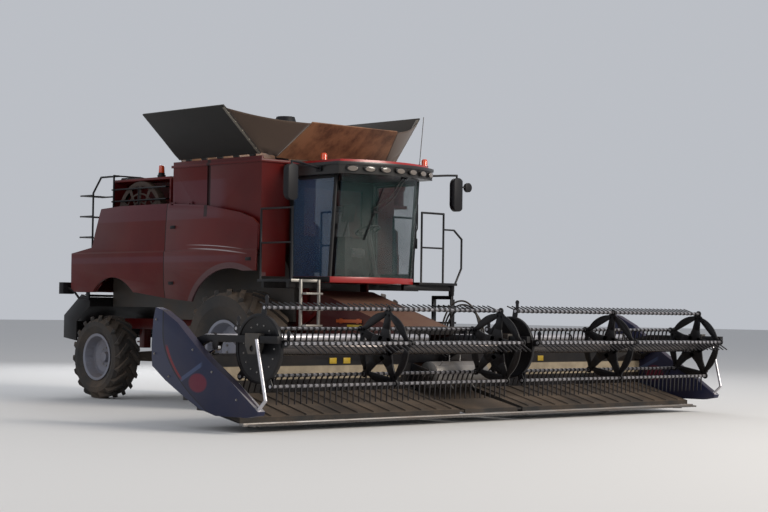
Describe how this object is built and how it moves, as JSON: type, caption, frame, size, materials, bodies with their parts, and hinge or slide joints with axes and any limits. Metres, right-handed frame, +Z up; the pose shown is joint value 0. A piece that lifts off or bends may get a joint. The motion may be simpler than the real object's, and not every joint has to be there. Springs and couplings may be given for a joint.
{
  "type": "combine harvester with draper header",
  "caption": "Rotary combine harvester with open grain tank covers, cab and a wide draper header with a split five-bat reel.",
  "frame": {"origin": "on the ground, under the middle of the machine's length and width", "axes": "+X forward, +Y to the driver's left, +Z up"},
  "size_m": [10.1092, 9.56, 4.7631],
  "materials": {
    "body_red": "satin, dusty",
    "axle_grey": "rough",
    "sheet_grey": "satin",
    "black_paint": "satin, dusty",
    "dark_plastic": "matte",
    "roof_plastic": "satin",
    "glass": "clear, faintly green",
    "tyre": "matte, dusty",
    "rim_silver": "satin",
    "cover_dark": "matte",
    "cover_tan": "matte",
    "sheet_fabric": "matte",
    "rod_chrome": "polished",
    "bare_steel": "worn bright",
    "belt_rubber": "matte",
    "reel_silver": "worn"
  },
  "bodies": {
    "root": {"chassis": "body_red", "front_axle": "axle_grey", "rear_axle": "axle_grey", "separator_housing": "sheet_grey", "engine": "axle_grey", "cooling_housing": "body_red", "grain_tank": "body_red", "fill_auger": "dark_plastic", "rear_hood": "body_red", "spreader_housing": "black_paint", "cab_frame": "body_red", "cab_roof": "roof_plastic", "cab_glass": "glass", "cab_interior": "dark_plastic", "left_platform": "black_paint", "right_platform": "black_paint", "deck_rails": "black_paint", "mirrors": "dark_plastic", "corner_sheets": "sheet_fabric", "tail_lamps": "dark_plastic"},
    "air_screen": {"air_screen": "black_paint"},
    "knuckle_left": {"knuckle_left": "axle_grey"},
    "knuckle_right": {"knuckle_right": "axle_grey"},
    "wheel_front_left": {"tyre_front_left": "tyre", "rim_front_left": "rim_silver"},
    "wheel_front_right": {"tyre_front_right": "tyre", "rim_front_right": "rim_silver"},
    "wheel_rear_left": {"tyre_rear_left": "tyre", "rim_rear_left": "rim_silver"},
    "wheel_rear_right": {"tyre_rear_right": "tyre", "rim_rear_right": "rim_silver"},
    "door": {"cab_door": "black_paint", "cab_door_glass": "glass"},
    "ladder": {"boarding_ladder": "black_paint"},
    "cover_right": {"cover_right": "cover_dark"},
    "cover_left": {"cover_left": "cover_dark"},
    "cover_front": {"cover_front": "cover_tan"},
    "cover_rear": {"cover_rear": "cover_tan"},
    "panel_left": {"side_panel_left": "body_red"},
    "panel_right": {"side_panel_right": "body_red"},
    "unload_auger": {"unload_auger": "body_red"},
    "feeder": {"feeder_house": "body_red", "header_frame": "black_paint", "end_shields": "dark_plastic", "cutterbar": "bare_steel", "drapers": "belt_rubber", "hoses": "belt_rubber"},
    "lift_barrels": {"lift_barrels": "black_paint"},
    "lift_rods": {"lift_rods": "rod_chrome"},
    "feed_drum": {"feed_drum": "bare_steel"},
    "reel_arms": {"reel_arms": "black_paint"},
    "reel_barrels": {"reel_barrels": "black_paint"},
    "reel_rods": {"reel_rods": "rod_chrome"},
    "reel_carriage": {"reel_carriage": "axle_grey"},
    "reel": {"reel_frame": "black_paint"},
    "bat_1": {"bat_1": "reel_silver"},
    "bat_2": {"bat_2": "reel_silver"},
    "bat_3": {"bat_3": "reel_silver"},
    "bat_4": {"bat_4": "reel_silver"},
    "bat_5": {"bat_5": "reel_silver"}
  },
  "joints": [
    {"name": "front_wheel_left", "type": "hinge", "parent": "root", "child": "wheel_front_left", "pos_m": [-0.02456, 1.31, 0.93], "axis": [0, 1, 0], "continuous": true},
    {"name": "front_wheel_right", "type": "hinge", "parent": "root", "child": "wheel_front_right", "pos_m": [-0.02456, -1.31, 0.93], "axis": [0, 1, 0], "continuous": true},
    {"name": "steer_left", "type": "hinge", "parent": "root", "child": "knuckle_left", "pos_m": [-3.70456, 0.85, 0.705], "axis": [0, 0, 1], "range_deg": [-32, 32]},
    {"name": "steer_right", "type": "hinge", "parent": "root", "child": "knuckle_right", "pos_m": [-3.70456, -0.85, 0.705], "axis": [0, 0, 1], "range_deg": [-32, 32]},
    {"name": "rear_wheel_left", "type": "hinge", "parent": "knuckle_left", "child": "wheel_rear_left", "pos_m": [-3.70456, 1.21, 0.705], "axis": [0, 1, 0], "continuous": true},
    {"name": "rear_wheel_right", "type": "hinge", "parent": "knuckle_right", "child": "wheel_rear_right", "pos_m": [-3.70456, -1.21, 0.705], "axis": [0, 1, 0], "continuous": true},
    {"name": "air_screen_spin", "type": "hinge", "parent": "root", "child": "air_screen", "pos_m": [-2.74956, -1.129, 3.035], "axis": [0, 1, 0], "continuous": true},
    {"name": "door_swing", "type": "hinge", "parent": "root", "child": "door", "pos_m": [0.67544, 0.906, 2.8], "axis": [0, 0, 1], "range_deg": [0, 75]},
    {"name": "ladder_swing", "type": "hinge", "parent": "root", "child": "ladder", "pos_m": [1.60544, 1.74, 1.7], "axis": [0, 0, 1], "range_deg": [0, 90]},
    {"name": "cover_right_fold", "type": "hinge", "parent": "root", "child": "cover_right", "pos_m": [-0.02456, -1.395, 3.9233], "axis": [-1, 0, 0], "range_deg": [0, 138], "deforming": ["corner_sheets"]},
    {"name": "cover_left_fold", "type": "hinge", "parent": "root", "child": "cover_left", "pos_m": [-0.02456, 1.395, 3.9233], "axis": [1, 0, 0], "range_deg": [0, 126]},
    {"name": "cover_front_fold", "type": "hinge", "parent": "root", "child": "cover_front", "pos_m": [0.58044, 0, 3.8783], "axis": [0, -1, 0], "range_deg": [0, 138]},
    {"name": "cover_rear_fold", "type": "hinge", "parent": "root", "child": "cover_rear", "pos_m": [-1.61956, 0, 3.8783], "axis": [0, 1, 0], "range_deg": [0, 138]},
    {"name": "panel_left_lift", "type": "hinge", "parent": "root", "child": "panel_left", "pos_m": [-0.02456, 1.438, 3.24], "axis": [1, 0, 0], "range_deg": [0, 70]},
    {"name": "panel_right_lift", "type": "hinge", "parent": "root", "child": "panel_right", "pos_m": [-0.02456, -1.438, 3.24], "axis": [-1, 0, 0], "range_deg": [0, 70]},
    {"name": "unload_swing", "type": "hinge", "parent": "root", "child": "unload_auger", "pos_m": [0.35544, 1.64, 3.62], "axis": [0, 0, -1], "range_deg": [0, 100]},
    {"name": "header_lift", "type": "hinge", "parent": "root", "child": "feeder", "pos_m": [0.92544, 0, 1.55], "axis": [0, -1, 0], "range_deg": [0, 18]},
    {"name": "lift_barrel_tilt", "type": "hinge", "parent": "root", "child": "lift_barrels", "pos_m": [0.30544, 0, 0.8], "axis": [0, -1, 0], "range_deg": [-0.1, 12.78]},
    {"name": "lift_rod_slide", "type": "slide", "parent": "lift_barrels", "child": "lift_rods", "axis": [0.9923, 0, -0.124], "range_m": [-0.002, 0.23955]},
    {"name": "feed_drum_spin", "type": "hinge", "parent": "feeder", "child": "feed_drum", "pos_m": [3.37544, 0, 0.64], "axis": [0, 1, 0], "continuous": true},
    {"name": "reel_lift", "type": "hinge", "parent": "feeder", "child": "reel_arms", "pos_m": [3.09544, 0, 1.08], "axis": [0, -1, 0], "range_deg": [-2, 28]},
    {"name": "reel_barrel_tilt", "type": "hinge", "parent": "feeder", "child": "reel_barrels", "pos_m": [3.20544, 0, 0.86], "axis": [0, -1, 0], "range_deg": [-1.88, 25]},
    {"name": "reel_rod_slide", "type": "slide", "parent": "reel_barrels", "child": "reel_rods", "axis": [0.8898, 0, 0.4563], "range_m": [-0.01028, 0.11799]},
    {"name": "reel_reach", "type": "slide", "parent": "reel_arms", "child": "reel_carriage", "axis": [1, 0, 0], "range_m": [-0.05, 0.3]},
    {"name": "reel_spin", "type": "hinge", "parent": "reel_carriage", "child": "reel", "pos_m": [4.33544, 0, 1.06], "axis": [0, 1, 0], "continuous": true},
    {"name": "bat_1_turn", "type": "hinge", "parent": "reel", "child": "bat_1", "pos_m": [4.42591, 0, 1.57308], "axis": [0, 1, 0], "continuous": true},
    {"name": "bat_2_turn", "type": "hinge", "parent": "reel", "child": "bat_2", "pos_m": [4.85137, 0, 1.13251], "axis": [0, 1, 0], "continuous": true},
    {"name": "bat_3_turn", "type": "hinge", "parent": "reel", "child": "bat_3", "pos_m": [4.56383, 0, 0.59173], "axis": [0, 1, 0], "continuous": true},
    {"name": "bat_4_turn", "type": "hinge", "parent": "reel", "child": "bat_4", "pos_m": [3.96067, 0, 0.69808], "axis": [0, 1, 0], "continuous": true},
    {"name": "bat_5_turn", "type": "hinge", "parent": "reel", "child": "bat_5", "pos_m": [3.87543, 0, 1.30459], "axis": [0, 1, 0], "continuous": true}
  ],
  "couplings": [
    {"joint": "steer_right", "follows": "steer_left", "ratio": 1},
    {"joint": "cover_left_fold", "follows": "cover_right_fold", "ratio": 0.91304},
    {"joint": "cover_rear_fold", "follows": "cover_front_fold", "ratio": 1},
    {"joint": "lift_barrel_tilt", "follows": "header_lift", "ratio": 0.70426},
    {"joint": "lift_rod_slide", "follows": "header_lift", "m_per_rad": 0.75614},
    {"joint": "reel_barrel_tilt", "follows": "reel_lift", "ratio": 0.88931},
    {"joint": "reel_rod_slide", "follows": "reel_lift", "m_per_rad": 0.23734},
    {"joint": "bat_1_turn", "follows": "reel_spin", "ratio": -1},
    {"joint": "bat_2_turn", "follows": "reel_spin", "ratio": -1},
    {"joint": "bat_3_turn", "follows": "reel_spin", "ratio": -1},
    {"joint": "bat_4_turn", "follows": "reel_spin", "ratio": -1},
    {"joint": "bat_5_turn", "follows": "reel_spin", "ratio": -1}
  ]
}
